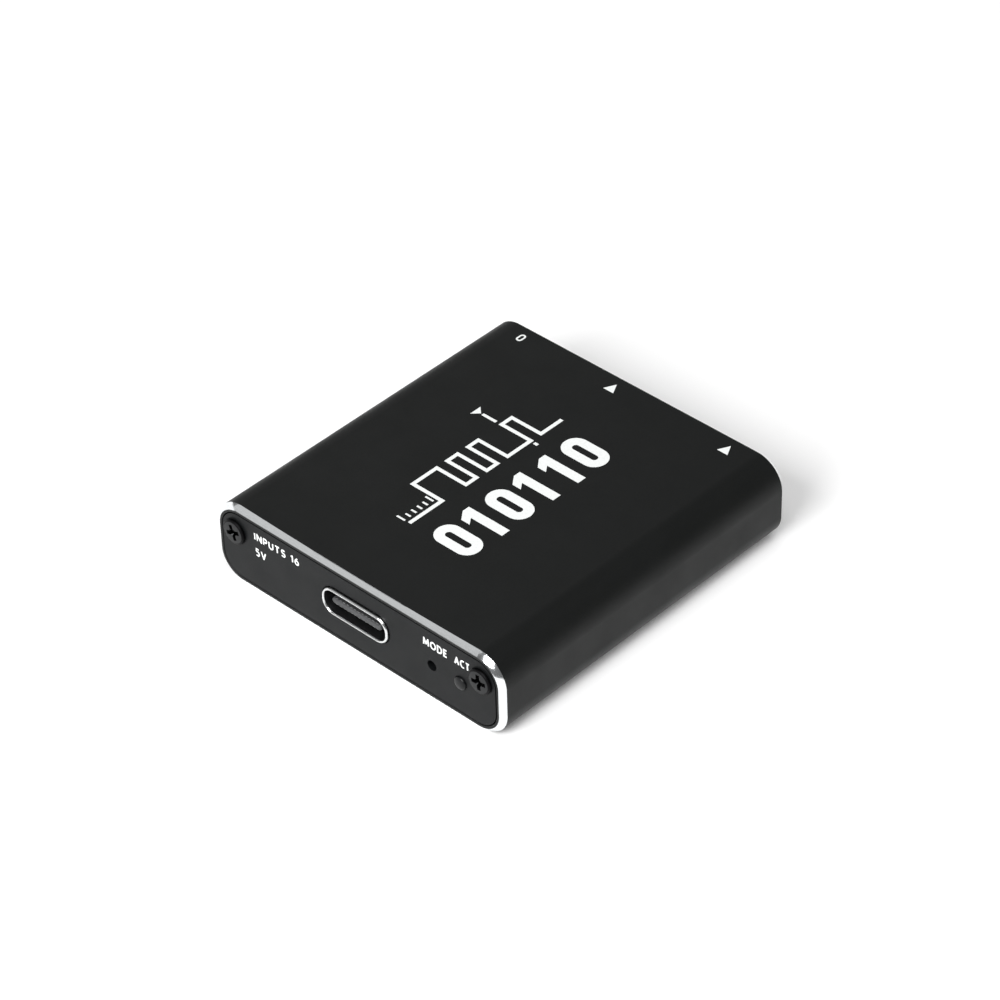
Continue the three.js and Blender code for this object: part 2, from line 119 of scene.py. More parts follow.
# ------------------------------------------------------------------ mesh tools


def make_object(name, vertices, faces, materials, bands=None):
    """A mesh object from points in millimetres. bands gives each face's material index."""
    mesh = bpy.data.meshes.new(name)
    mesh.from_pydata([Vector(v) * MM for v in vertices], [], faces)
    for material in materials:
        mesh.materials.append(material)
    if bands:
        for polygon, index in zip(mesh.polygons, bands):
            polygon.material_index = index
    piece = bpy.data.objects.new(name, mesh)
    bpy.context.scene.collection.objects.link(piece)
    tidy_normals(piece)
    return piece


def tidy_normals(piece):
    """Points every face of a closed mesh outwards."""
    mesh = bmesh.new()
    mesh.from_mesh(piece.data)
    bmesh.ops.remove_doubles(mesh, verts=mesh.verts, dist=1e-8)
    bmesh.ops.recalc_face_normals(mesh, faces=mesh.faces)
    mesh.to_mesh(piece.data)
    mesh.free()


def smooth(piece, angle=35):
    """Smooth shading that stays crisp over edges sharper than the angle."""
    piece.data.shade_smooth()
    piece.data.set_sharp_from_angle(angle=math.radians(angle))
    weighted = piece.modifiers.new("weighted", "WEIGHTED_NORMAL")
    weighted.keep_sharp = True
    weighted.weight = 90


def loft(name, rings, materials, wrap=False, bands=None):
    """Quads between rings of equal length, with bands as the material index of each span.

    wrap joins the last ring to the first. Without it both ends are capped.
    """
    count = len(rings[0])
    vertices = [point for ring in rings for point in ring]
    faces = []
    indices = []
    spans = len(rings) if wrap else len(rings) - 1
    for span in range(spans):
        here = span * count
        there = ((span + 1) % len(rings)) * count
        for step in range(count):
            after = (step + 1) % count
            faces.append((here + step, here + after, there + after, there + step))
            indices.append(bands[span] if bands else 0)
    if not wrap:
        faces.append(tuple(range(count)))
        faces.append(tuple(range((len(rings) - 1) * count, len(rings) * count)))
        indices += [0, 0]
    return make_object(name, vertices, faces, materials, indices)


def ellipse(centre, radii, start, end, steps=12):
    """Points along part of an ellipse, in degrees, both ends included."""
    points = []
    for step in range(steps + 1):
        angle = math.radians(start + (end - start) * step / steps)
        x = centre[0] + radii[0] * math.cos(angle)
        points.append((x, centre[1] + radii[1] * math.sin(angle)))
    return points


def arc(centre, radius, start, end, steps):
    """Points on an arc, in degrees, both ends included."""
    return ellipse(centre, (radius, radius), start, end, steps)


def rounded(width, height, radius, centre=(0, 0), steps=16):
    """A rectangle with round corners, anticlockwise."""
    right = width / 2 - radius
    top = height / 2 - radius
    cx, cz = centre
    outline = []
    outline += arc((cx + right, cz + top), radius, 0, 90, steps)
    outline += arc((cx - right, cz + top), radius, 90, 180, steps)
    outline += arc((cx - right, cz - top), radius, 180, 270, steps)
    outline += arc((cx + right, cz - top), radius, 270, 360, steps)
    return outline


def at_y(outline, y):
    """An outline of (x, z) points, stood up at a depth."""
    return [(x, y, z) for x, z in outline]


def at_z(outline, z):
    """An outline of (x, y) points, laid at a height."""
    return [(x, y, z) for x, y in outline]


def block(name, low, high, material):
    """A closed block between two corners, as a loft of two rectangles."""
    outline = [(low[0], low[1]), (high[0], low[1]), (high[0], high[1]), (low[0], high[1])]
    return loft(name, [at_z(outline, low[2]), at_z(outline, high[2])], [material])


def rod_y(name, centre, radius, start, end, material):
    """A round rod along Y, around a point (x, z)."""
    outline = rounded(2 * radius, 2 * radius, radius - 1e-4, centre, 12)
    return loft(name, [at_y(outline, start), at_y(outline, end)], [material])


def combine(base, tool, operation):
    """Applies an exact boolean to the base and removes the tool."""
    change = base.modifiers.new("combine", "BOOLEAN")
    change.operation = operation
    change.object = tool
    change.solver = "EXACT"
    graph = bpy.context.evaluated_depsgraph_get()
    result = bpy.data.meshes.new_from_object(base.evaluated_get(graph))
    base.modifiers.clear()
    base.data = result
    bpy.data.objects.remove(tool)


def soften(piece, width):
    """Rounds every sharp edge by a small bevel."""
    edge = piece.modifiers.new("edge", "BEVEL")
    edge.width = width * MM
    edge.segments = 2
    edge.limit_method = "ANGLE"
    edge.angle_limit = math.radians(40)
    edge.harden_normals = False


def merge(name, pieces):
    """One object that holds the meshes of several."""
    mesh = bmesh.new()
    materials = pieces[0].data.materials
    for piece in pieces:
        mesh.from_mesh(piece.data)
    for piece in pieces[1:]:
        bpy.data.objects.remove(piece)
    whole = pieces[0]
    mesh.to_mesh(whole.data)
    mesh.free()
    whole.name = name
    return whole


# ------------------------------------------------------------------ materials


# Most of a noise texture's values lie between these two.
NOISE_LOW = 0.3
NOISE_HIGH = 0.7


class Nodes:
    """A short way to write a node material. Texture sizes are given in millimetres."""

    def __init__(self, name):
        self.material = bpy.data.materials.new(name)
        self.material.use_nodes = True
        self.tree = self.material.node_tree
        self.shader = self.tree.nodes["Principled BSDF"]
        coordinates = self.tree.nodes.new("ShaderNodeTexCoord")
        self.place = coordinates.outputs["Object"]

    def link(self, source, target):
        self.tree.links.new(source, target)

    def set(self, **values):
        """Sets shader inputs by name, with underscores for spaces."""
        for key, value in values.items():
            self.shader.inputs[key.replace("_", " ")].default_value = value
        return self

    def stretched(self, scale):
        """Object coordinates with a factor along each axis."""
        mapping = self.tree.nodes.new("ShaderNodeMapping")
        mapping.inputs["Scale"].default_value = scale
        self.link(self.place, mapping.inputs["Vector"])
        return mapping.outputs["Vector"]

    def noise(self, size, detail, rough=0.5, vector=None):
        texture = self.tree.nodes.new("ShaderNodeTexNoise")
        texture.inputs["Scale"].default_value = 1 / (size * MM)
        texture.inputs["Detail"].default_value = detail
        texture.inputs["Roughness"].default_value = rough
        self.link(vector or self.place, texture.inputs["Vector"])
        return texture.outputs["Fac"]

    def cells(self, size, vector=None):
        texture = self.tree.nodes.new("ShaderNodeTexVoronoi")
        texture.inputs["Scale"].default_value = 1 / (size * MM)
        self.link(vector or self.place, texture.inputs["Vector"])
        return texture.outputs["Distance"]

    def span(self, value, low, high):
        """Spreads the middle of a noise over a range."""
        mapped = self.tree.nodes.new("ShaderNodeMapRange")
        mapped.inputs["From Min"].default_value = NOISE_LOW
        mapped.inputs["From Max"].default_value = NOISE_HIGH
        mapped.inputs["To Min"].default_value = low
        mapped.inputs["To Max"].default_value = high
        self.link(value, mapped.inputs["Value"])
        return mapped.outputs["Result"]

    def colours(self, value, stops):
        """Turns a value into a colour through (position, colour) stops."""
        ramp = self.tree.nodes.new("ShaderNodeValToRGB")
        elements = ramp.color_ramp.elements
        while len(elements) < len(stops):
            elements.new(0.5)
        for element, (position, colour) in zip(elements, stops):
            element.position = position
            element.color = (*colour, 1)
        self.link(value, ramp.inputs["Fac"])
        return ramp.outputs["Color"]

    def paint(self, colour):
        self.link(colour, self.shader.inputs["Base Color"])

    def rough(self, value):
        self.link(value, self.shader.inputs["Roughness"])

    def bump(self, height, depth, strength, below=None):
        """Relief from a height. below is the relief that it adds to."""
        node = self.tree.nodes.new("ShaderNodeBump")
        node.inputs["Strength"].default_value = strength
        node.inputs["Distance"].default_value = depth * MM
        self.link(height, node.inputs["Height"])
        if below:
            self.link(below, node.inputs["Normal"])
        self.link(node.outputs["Normal"], self.shader.inputs["Normal"])
        return node.outputs["Normal"]


def between(dark, light):
    """Ramp stops between two colours, over the middle of a noise."""
    return [(NOISE_LOW, dark), (NOISE_HIGH, light)]


def shades(colour, spread):
    """Ramp stops between a darker and a lighter version of a colour."""
    return between([c * (1 - spread) for c in colour], [c * (1 + spread) for c in colour])


def blasted_black(name, colour, rough, grain, specular):
    """Bead-blasted, black anodised aluminium: fine pits over a slow mottle of its sheen."""
    nodes = Nodes(name).set(Metallic=0.0, Specular_IOR_Level=specular)
    mottle = nodes.noise(4.0, 3.0)
    fine = nodes.noise(grain, 3.0, 0.6)
    nodes.paint(nodes.colours(fine, shades(colour, 0.22)))
    nodes.rough(nodes.span(mottle, rough - 0.04, rough + 0.05))
    pits = nodes.bump(nodes.cells(grain * 1.3), 0.006, 0.5)
    nodes.bump(fine, 0.006, 0.6, below=pits)
    return nodes.material


def cut_aluminium(name):
    """Diamond-cut bare aluminium with faint tool lines."""
    nodes = Nodes(name).set(Metallic=1.0)
    lines = nodes.noise(0.6, 3.0, 0.5, vector=nodes.stretched((1, 8, 8)))
    nodes.paint(nodes.colours(lines, between((0.78, 0.80, 0.81), (0.86, 0.88, 0.89))))
    nodes.rough(nodes.span(nodes.noise(1.5, 2.0), 0.11, 0.16))
    nodes.bump(lines, 0.0004, 0.25)
    return nodes.material


def plated(name, colour, rough):
    """A plated or bare metal part with fine handling marks."""
    nodes = Nodes(name).set(Metallic=1.0)
    nodes.paint(nodes.colours(nodes.noise(0.8, 4.0), shades(colour, 0.06)))
    nodes.rough(nodes.span(nodes.noise(0.3, 4.0), rough - 0.06, rough + 0.08))
    nodes.bump(nodes.noise(0.12, 3.0), 0.002, 0.4)
    return nodes.material


def moulded(name, colour, rough, grain=0.18, specular=0.4):
    """Moulded plastic or resin with a fine spark-eroded grain."""
    nodes = Nodes(name).set(Specular_IOR_Level=specular)
    nodes.paint(nodes.colours(nodes.noise(1.5, 4.0), shades(colour, 0.15)))
    nodes.rough(nodes.span(nodes.noise(grain, 3.0), rough - 0.06, rough + 0.06))
    nodes.bump(nodes.noise(grain, 3.0), 0.006, 0.5)
    return nodes.material


def solder_mask(name):
    """Green-black solder mask over copper tracks that stand a little proud."""
    nodes = Nodes(name).set(Specular_IOR_Level=0.5, Coat_Weight=0.3, Coat_Roughness=0.15)
    tracks = nodes.cells(1.1, vector=nodes.stretched((1, 0.35, 1)))
    greens = [(0.35, (0.006, 0.028, 0.016)), (0.42, (0.012, 0.05, 0.028))]
    nodes.paint(nodes.colours(tracks, greens))
    nodes.rough(nodes.span(nodes.noise(0.4, 3.0), 0.28, 0.4))
    nodes.bump(tracks, 0.02, 0.3)
    return nodes.material


def ink(name):
    """Thick white print, slightly uneven."""
    nodes = Nodes(name).set(Specular_IOR_Level=0.35)
    whites = between((0.76, 0.78, 0.77), (0.86, 0.88, 0.87))
    nodes.paint(nodes.colours(nodes.noise(0.25, 3.0), whites))
    nodes.rough(nodes.span(nodes.noise(0.15, 2.0), 0.42, 0.58))
    nodes.bump(nodes.noise(0.1, 2.0), 0.003, 0.4)
    return nodes.material


def smoked_lens(name):
    """Smoke-grey plastic that lets a little light through."""
    nodes = Nodes(name).set(Transmission_Weight=0.1, IOR=1.45, Specular_IOR_Level=0.25)
    greys = between((0.005, 0.0055, 0.006), (0.008, 0.0085, 0.009))
    nodes.paint(nodes.colours(nodes.noise(0.6, 3.0), greys))
    nodes.rough(nodes.span(nodes.noise(0.3, 2.0), 0.3, 0.38))
    nodes.bump(nodes.noise(0.25, 2.0), 0.002, 0.3)
    return nodes.material


CASE_BLACK = blasted_black("anodised_case", (0.0060, 0.0066, 0.0064), 0.46, 0.11, 0.2)
PANEL_GREY = blasted_black("anodised_panel", (0.0048, 0.0054, 0.0058), 0.46, 0.09, 0.155)
CUT_EDGE = cut_aluminium("diamond_cut_edge")
BLACK_OXIDE = plated("black_oxide", (0.036, 0.037, 0.038), 0.36)
# Near-black plating used as painted shade on the screw heads' sides and in their cross recesses.
PAINTED_SHADE_OXIDE = plated("painted_shade_oxide", (0.008, 0.008, 0.0085), 0.5)
BRIGHT_STEEL = plated("nickel_plate", (0.78, 0.79, 0.79), 0.2)
# Darker plating used as painted shade on the inner wall of the USB shell.
PAINTED_SHADE_SHELL = plated("painted_shade_shell_inside", (0.12, 0.12, 0.125), 0.38)
TIN = plated("tin_plate", (0.62, 0.63, 0.63), 0.35)
GOLD = plated("gold_flash", (0.83, 0.6, 0.22), 0.22)
BLACK_PLASTIC = moulded("black_plastic", (0.008, 0.008, 0.0085), 0.55, specular=0.3)
TONGUE_PLASTIC = moulded("tongue_plastic", (0.05, 0.051, 0.053), 0.45, 0.1)
EPOXY = moulded("chip_epoxy", (0.018, 0.018, 0.02), 0.6, 0.08)
FERRITE = moulded("ferrite", (0.08, 0.078, 0.075), 0.75, 0.12)
FUSE = moulded("fuse_polymer", (0.05, 0.16, 0.07), 0.55)
RESIN = moulded("capacitor_resin", (0.45, 0.3, 0.06), 0.45)
LED_RESIN = moulded("led_resin", (0.8, 0.77, 0.62), 0.35)
PAD = moulded("silicone_pad", (0.36, 0.4, 0.43), 0.85, 0.3)
MASK = solder_mask("solder_mask")
INK = ink("white_ink")
LENS = smoked_lens("smoked_lens")

SLOT_MATERIALS = {
    "case_black": CASE_BLACK,
    "panel_dark": PANEL_GREY,
    "screw_black": BLACK_OXIDE,
    "board_mask": MASK,
    "shell_steel": BRIGHT_STEEL,
    "plastic_black": BLACK_PLASTIC,
    "tin_plate": TIN,
    "led_body": LED_RESIN,
    "lens_smoke": LENS,
    "pin_gold": GOLD,
    "chip_black": EPOXY,
    "ferrite_grey": FERRITE,
    "fuse_green": FUSE,
    "capacitor_ochre": RESIN,
    "pad_grey": PAD,
}


def dress_cad_nodes():
    """Gives every CAD node that stays in view the material of its slot."""
    for row in frame["record"]["subparts"]:
        node = frame["nodes"][row["node"]]
        material = SLOT_MATERIALS[row["material_slot"]]
        if not node.material_slots:
            node.data.materials.append(material)
        for slot in node.material_slots:
            slot.material = material


def place(piece, slot, *nodes):
    """Rides a piece on the case, and lets it stand for CAD nodes by hiding them. The slot is not
    used.
    """
    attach(piece, "case")
    if nodes:
        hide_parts(*nodes)
    return piece


# ------------------------------------------------------------------ housing


def tube_outline(inset):
    """The tube's section at an inset, with extra points along its flat top."""
    height = HEIGHT - PRINT
    middle = (0, height / 2)
    wide = WIDTH - 2 * inset
    outline = rounded(wide, height - 2 * inset, CORNER - inset, middle, CORNER_STEPS)
    half = WIDTH / 2 - CORNER
    top = [(half * (1 - step / TOP_STEPS), height - inset) for step in range(1, 2 * TOP_STEPS)]
    return outline[: CORNER_STEPS + 1] + top + outline[CORNER_STEPS + 1 :]


def dipped(ring, down, forward=0.0):
    """Draws the flat top of a ring down, and towards the front, most in the middle."""
    half = WIDTH / 2 - CORNER
    moved = []
    for x, y, z in ring:
        share = max(0.0, 1 - (x / half) ** 2) if z > HEIGHT / 2 else 0.0
        moved.append((x, y - forward * share, z - down * share))
    return moved


def make_housing_skin():
    """The tube: flat end rims, cut chamfers with fine edge breaks, and the inner wall."""
    black = 0
    bright = 1
    lip = 0.03
    slope = EDGE_BREAK * math.sqrt(0.5)
    end = [
        (WALL, lip, black),
        (WALL - lip, 0.0, black),
        (CHAMFER + EDGE_BREAK / 2, 0.0, bright),
        (CHAMFER - slope, slope, bright),
        (slope, CHAMFER - slope, bright),
        (0.0, CHAMFER + EDGE_BREAK / 2, black),
    ]
    rings = [at_y(tube_outline(inset), FRONT + depth) for inset, depth, _ in end]
    bands = [band for _, _, band in end]
    rings[4:] = [dipped(ring, TOP_DIP, TOP_DIP) for ring in rings[4:]]
    for depth, share in DIP_FADE:
        rings.append(dipped(at_y(tube_outline(0), FRONT + depth), TOP_DIP * share))
        bands.append(black)
    rings += [at_y(tube_outline(inset), REAR - depth) for inset, depth, _ in reversed(end)]
    bands += [bright, bright, bright, black, black, black]
    skin = loft("housing_skin", rings, [CASE_BLACK, CUT_EDGE], wrap=True, bands=bands)
    smooth(skin, 30)
    return place(skin, "case_black", "housing_tube")


def across(side, a, b):
    """The lower and the higher of two distances from the middle, on one side."""
    return min(side * a, side * b), max(side * a, side * b)


def make_port(name, side, start, end):
    """The screw port: a split boss that hangs from the roof and is tied to the side wall."""
    wall_x = WIDTH / 2 - WALL / 2
    middle = (side * SCREW_X, SCREW_Z)
    port = rod_y(name, middle, BOSS_RADIUS, start, end, CASE_BLACK)
    left, right = across(side, SCREW_X, wall_x)
    low = (left, start, SCREW_Z - BOSS_RADIUS)
    high = (right, end, SCREW_Z + BOSS_RADIUS * 0.8)
    combine(port, block("web", low, high, CASE_BLACK), "UNION")
    left, right = across(side, SCREW_X - BOSS_RADIUS, SCREW_X + BOSS_RADIUS * 0.6)
    low = (left, start, SCREW_Z)
    high = (right, end, HEIGHT - WALL / 2)
    combine(port, block("web", low, high, CASE_BLACK), "UNION")
    bore = rod_y("bore", middle, PORT_RADIUS, start - PAST, end + PAST, CASE_BLACK)
    combine(port, bore, "DIFFERENCE")
    left, right = across(side, SCREW_X, SCREW_X - BOSS_RADIUS - FIT)
    low = (left, start - PAST, SCREW_Z - PORT_RADIUS / 2)
    high = (right, end + PAST, SCREW_Z + PORT_RADIUS / 2)
    combine(port, block("slot", low, high, CASE_BLACK), "DIFFERENCE")
    return port


def make_rails(side, start, end):
    """The two ribs that hold an edge of the board. The lower one is kept inside the wall."""
    wall_x = WIDTH / 2 - WALL / 2
    rail_x = WIDTH / 2 - WALL - RAIL_REACH
    left, right = across(side, rail_x, wall_x)
    below = BOARD_LOW.z - FIT
    above = BOARD_HIGH.z + FIT
    lower = block("lower", (left, start, 0), (right, end, below), CASE_BLACK)
    middle = rounded(WIDTH - WALL, HEIGHT - WALL, CORNER - WALL / 2, (0, HEIGHT / 2))
    rings = [at_y(middle, start - PAST), at_y(middle, end + PAST)]
    combine(lower, loft("bounds", rings, [CASE_BLACK]), "INTERSECT")
    upper = block("upper", (left, start, above), (right, end, above + RAIL_LIP), CASE_BLACK)
    return [lower, upper]


def make_housing_ribs(side):
    """The screw port and the two board rails of one side wall, as they run inside the tube."""
    start = FRONT + PANEL_DEPTH + FIT / 2
    end = REAR - PANEL_DEPTH - FIT / 2
    name = "left" if side < 0 else "right"
    port = make_port(f"housing_port_{name}", side, start, end)
    ribs = merge(f"housing_ribs_{name}", [port, *make_rails(side, start, end)])
    soften(ribs, 0.05)
    smooth(ribs)
    return place(ribs, "case_black")


# ------------------------------------------------------------------ screws


# The black oxide of the heads, and the near-black painted shade for their sides and recesses.
SCREW_OXIDE_AND_PAINTED_SHADE = [BLACK_OXIDE, PAINTED_SHADE_OXIDE]


def cross_outline(length, half):
    """A plus sign in two dimensions."""
    return [
        (length, -half), (length, half), (half, half), (half, length),
        (-half, length), (-half, half), (-length, half), (-length, -half),
        (-half, -half), (-half, -length), (half, -length), (half, -half),
    ]


def turned(name, profile, materials, steps=48, rows=None):
    """A solid of revolution about Y. The profile holds (radius, height), both ends on the axis.

    rows gives the material index of each band between two turned points.
    """
    vertices = []
    faces = []
    first = (0, profile[0][1], 0)
    last = (0, profile[-1][1], 0)
    middle = profile[1:-1]
    for radius, height in middle:
        for step in range(steps):
            angle = 2 * math.pi * step / steps
            vertices.append((radius * math.cos(angle), height, radius * math.sin(angle)))
    vertices += [first, last]
    start = len(middle) * steps
    indices = []
    for row in range(len(middle) - 1):
        for step in range(steps):
            after = (step + 1) % steps
            here = row * steps
            there = here + steps
            faces.append((here + step, here + after, there + after, there + step))
            indices.append(rows[row] if rows else 0)
    for step in range(steps):
        after = (step + 1) % steps
        faces.append((start, step, after))
        faces.append((start + 1, start - steps + step, start - steps + after))
        indices += [0, 0]
    return make_object(name, vertices, faces, materials, indices)


def screw_solid(name, radius, rise, length):
    """The shank and the pan head: painted shade on the shank, the underside and the side, and plain
    black oxide on the face.
    """
    seat = 0.02
    crown = 0.84 * radius
    shoulder = 0.2
    bevel = 0.05
    side = [(SHANK, -length), (SHANK, seat), (radius - bevel, seat), (radius, seat + 0.04)]
    side += ellipse((crown, rise - seat - shoulder), (radius - crown, shoulder), 0, 90, 6)
    face = [(crown * 0.6, rise)]
    profile = [(0, -length), *side, *face, (0, rise)]
    # Every band up to the crown takes the painted shade. The band over the crown and the face keep
    # the black oxide.
    rows = [1] * (len(side) - 1) + [0]
    return turned(name, profile, SCREW_OXIDE_AND_PAINTED_SHADE, rows=rows)


def cross_cutter(radius, rise):
    """A tapered plus that cuts the recess and leaves its walls in painted shade."""
    arm = radius * 0.62
    half = radius * 0.15
    deep = [(x, -0.45, z) for x, z in cross_outline(arm * 0.62, half * 0.7)]
    wide = [(x, rise + 0.2, z) for x, z in cross_outline(arm * 1.1, half * 1.15)]
    cutter = loft("cutter", [deep, wide], SCREW_OXIDE_AND_PAINTED_SHADE)
    # All faces of the cutter take the painted shade, so the recess walls it leaves are darker.
    for polygon in cutter.data.polygons:
        polygon.material_index = 1
    return cutter


def make_screw(node, turn):
    """A pan head with a cross recess. Heights grow outwards from the panel."""
    low, high = node_box(node)
    front = low.y < FRONT
    panel = FRONT if front else REAR
    rise = FRONT - low.y if front else high.y - REAR
    radius = (high.x - low.x) / 2
    length = (high.y - low.y) - rise
    screw = screw_solid(node + "_fine", radius, rise, length)
    combine(screw, cross_cutter(radius, rise), "DIFFERENCE")
    tip = [(0, -0.25), (0.05, -0.25), (radius * 0.36, rise + 0.1), (0, rise + 0.1)]
    combine(screw, turned("cone", tip, SCREW_OXIDE_AND_PAINTED_SHADE, 24), "DIFFERENCE")
    placed = Matrix.Rotation(math.radians(turn), 4, "Y")
    if front:
        placed = Matrix.Rotation(math.pi, 4, "X") @ placed
    middle = Vector(((low.x + high.x) / 2, panel, (low.z + high.z) / 2))
    screw.data.transform(Matrix.Translation(middle * MM) @ placed)
    soften(screw, 0.02)
    smooth(screw)
    return place(screw, "screw_black", node)


# ------------------------------------------------------------------ USB receptacle


def make_usb_shell():
    """The drawn steel shell with its rolled lip, and four tabs into the board."""
    inner = [(USB_WALL, 0.22), (0.28, 0.1), (0.23, 0.02), (0.17, 0.0)]
    outer = [(0.11, 0.02), (0.04, 0.1), (0.0, 0.22)]
    stations = [(inset, USB_FRONT + depth) for inset, depth in inner + outer]
    bevel = 0.05
    stations += [(0.0, USB_BACK - bevel), (bevel, USB_BACK)]
    stations += [(USB_WALL - bevel, USB_BACK), (USB_WALL, USB_BACK - bevel)]
    # The last span, the inner wall from behind the lip to the back, takes the painted shade.
    bands = [0] * (len(stations) - 1) + [1]
    rings = []
    for inset, y in stations:
        height = USB_HEIGHT - 2 * inset
        outline = rounded(USB_WIDTH - 2 * inset, height, height / 2 - 0.12, (0, USB_Z), 14)
        rings.append(at_y(outline, y))
    shell = loft("usb_shell_fine", rings, [BRIGHT_STEEL, PAINTED_SHADE_SHELL], wrap=True, bands=bands)
    tabs = []
    half_wide = USB_WALL / 2 - 0.01
    half_long = 0.55
    for side in (-1, 1):
        for setback in (3.0, 6.2):
            x = side * (USB_WIDTH / 2 - USB_WALL / 2)
            middle = USB_FRONT + setback
            low = (x - half_wide, middle - half_long, SHELL_LOW.z)
            high = (x + half_wide, middle + half_long, USB_Z - 0.5)
            tabs.append(block("tab", low, high, BRIGHT_STEEL))
    shell = merge("usb_shell_fine", [shell, *tabs])
    smooth(shell, 50)
    return place(shell, "shell_steel", "usb_shell")


def make_usb_tongue():
    """The moulded core: a back wall, a shoulder and the tongue with its rounded nose."""
    low, high = node_box("usb_tongue")
    thickness = TONGUE_THICKNESS
    width = TONGUE_WIDTH
    back = high.y
    core_start = USB_FRONT + 5.0
    shoulder_start = core_start - 0.8
    sections = [
        (thickness - 0.3, width - 0.3, low.y),
        (thickness - 0.08, width - 0.08, low.y + 0.05),
        (thickness, width, low.y + 0.16),
        (thickness, width, shoulder_start),
        (thickness + 0.6, width + 0.5, shoulder_start),
        (thickness + 0.6, width + 0.5, core_start),
        (high.z - low.z, high.x - low.x, core_start),
        (high.z - low.z, high.x - low.x, back),
    ]
    rings = []
    for tall, wide, y in sections:
        outline = rounded(wide, tall, min(tall / 2 - 0.02, 1.2), (0, USB_Z), 8)
        rings.append(at_y(outline, y))
    tongue = loft("usb_tongue_fine", rings, [TONGUE_PLASTIC])
    smooth(tongue, 50)
    return place(tongue, "plastic_black", "usb_tongue")


def make_usb_contacts():
    """Twelve plated strips on each face of the tongue, at half a millimetre pitch."""
    start = node_box("usb_tongue")[0].y + 0.1
    end = USB_FRONT + 4.2
    count = 12
    pitch = 0.5
    half = 0.125
    proud = 0.03
    sunk = 0.01
    strips = []
    for face in (-1, 1):
        surface = USB_Z + face * TONGUE_THICKNESS / 2
        bottom = min(surface, surface + face * proud) - sunk
        top = max(surface, surface + face * proud) + sunk
        for index in range(count):
            x = (index - (count - 1) / 2) * pitch
            strips.append(block("strip", (x - half, start, bottom), (x + half, end, top), TIN))
    return place(merge("usb_contacts", strips), "tin_plate")


def make_lens():
    """The domed face of the activity light, a little proud of the panel."""
    low, high = node_box("act_light_pipe")
    gap = 0.002
    rim = LENS_RADIUS - 0.01
    dome = ellipse((0, 0), (rim, LENS_CROWN), 6, 84, 9)
    profile = [(0, 0.0), (rim, 0.0), *dome, (0, LENS_CROWN)]
    lens = turned("act_lens_dome", profile, [LENS], 40)
    centre = Vector(((low.x + high.x) / 2, low.y - gap, high.z - LENS_RADIUS))
    lens.data.transform(Matrix.Translation(centre * MM) @ Matrix.Rotation(math.pi, 4, "X"))
    smooth(lens)
    return place(lens, "lens_smoke")


# ------------------------------------------------------------------ print


def ribbon(points, width, closed):
    """The two edges of a constant-width line through points, with mitred corners."""
    left = []
    right = []
    count = len(points)
    for index, point in enumerate(points):
        here = Vector(point)
        before = Vector(points[index - 1]) if index or closed else None
        after = Vector(points[(index + 1) % count]) if index < count - 1 or closed else None
        into = (here - before).normalized() if before else (after - here).normalized()
        out = (after - here).normalized() if after else into
        bisector = (into + out).normalized()
        normal = Vector((-bisector.y, bisector.x))
        reach = width / 2 / max(0.3, normal.dot(Vector((-into.y, into.x))))
        left.append(here + normal * reach)
        right.append(here - normal * reach)
    return left, right


def raised_line(name, points, width, plane, closed=False):
    """A thin printed line. plane turns a flat point and a height into a point in space."""
    left, right = ribbon(points, width, closed)
    count = len(points)
    vertices = []
    for u, v in zip(left, right):
        vertices += [plane(u, 0), plane(v, 0), plane(v, PRINT), plane(u, PRINT)]
    faces = []
    for index in range(count if closed else count - 1):
        here = 4 * index
        there = 4 * ((index + 1) % count)
        for side in range(4):
            after = (side + 1) % 4
            faces.append((here + side, here + after, there + after, there + side))
    if not closed:
        last = 4 * (count - 1)
        faces.append((0, 1, 2, 3))
        faces.append((last, last + 1, last + 2, last + 3))
    return make_object(name, vertices, faces, [INK])


def raised_shape(name, outline, plane):
    """A thin printed filled shape."""
    rings = [[plane(Vector(p), 0) for p in outline], [plane(Vector(p), PRINT) for p in outline]]
    return loft(name, rings, [INK])


def top_plane(point, height):
    """Flat coordinates on the top: u along +Y, v along -X, so print reads from front to rear."""
    return (-point.y, point.x, HEIGHT - PRINT + height)


def rear_reading(point, height):
    """Flat coordinates on the top: u along +X, v along +Y."""
    return (point.x, point.y, HEIGHT - PRINT + height)


BOWL_P = ellipse((0.24, 0.72), (0.28, 0.28), 90, -90)
UPPER_S = ellipse((0.27, 0.75), (0.25, 0.25), 30, 250)
LOWER_S = ellipse((0.25, 0.26), (0.27, 0.26), 70, -150)
BOWL_5 = ellipse((0.22, 0.31), (0.28, 0.31), 128, -130)
BOWL_6 = ellipse((0.27, 0.3), (0.27, 0.3), 0, 345, 23)

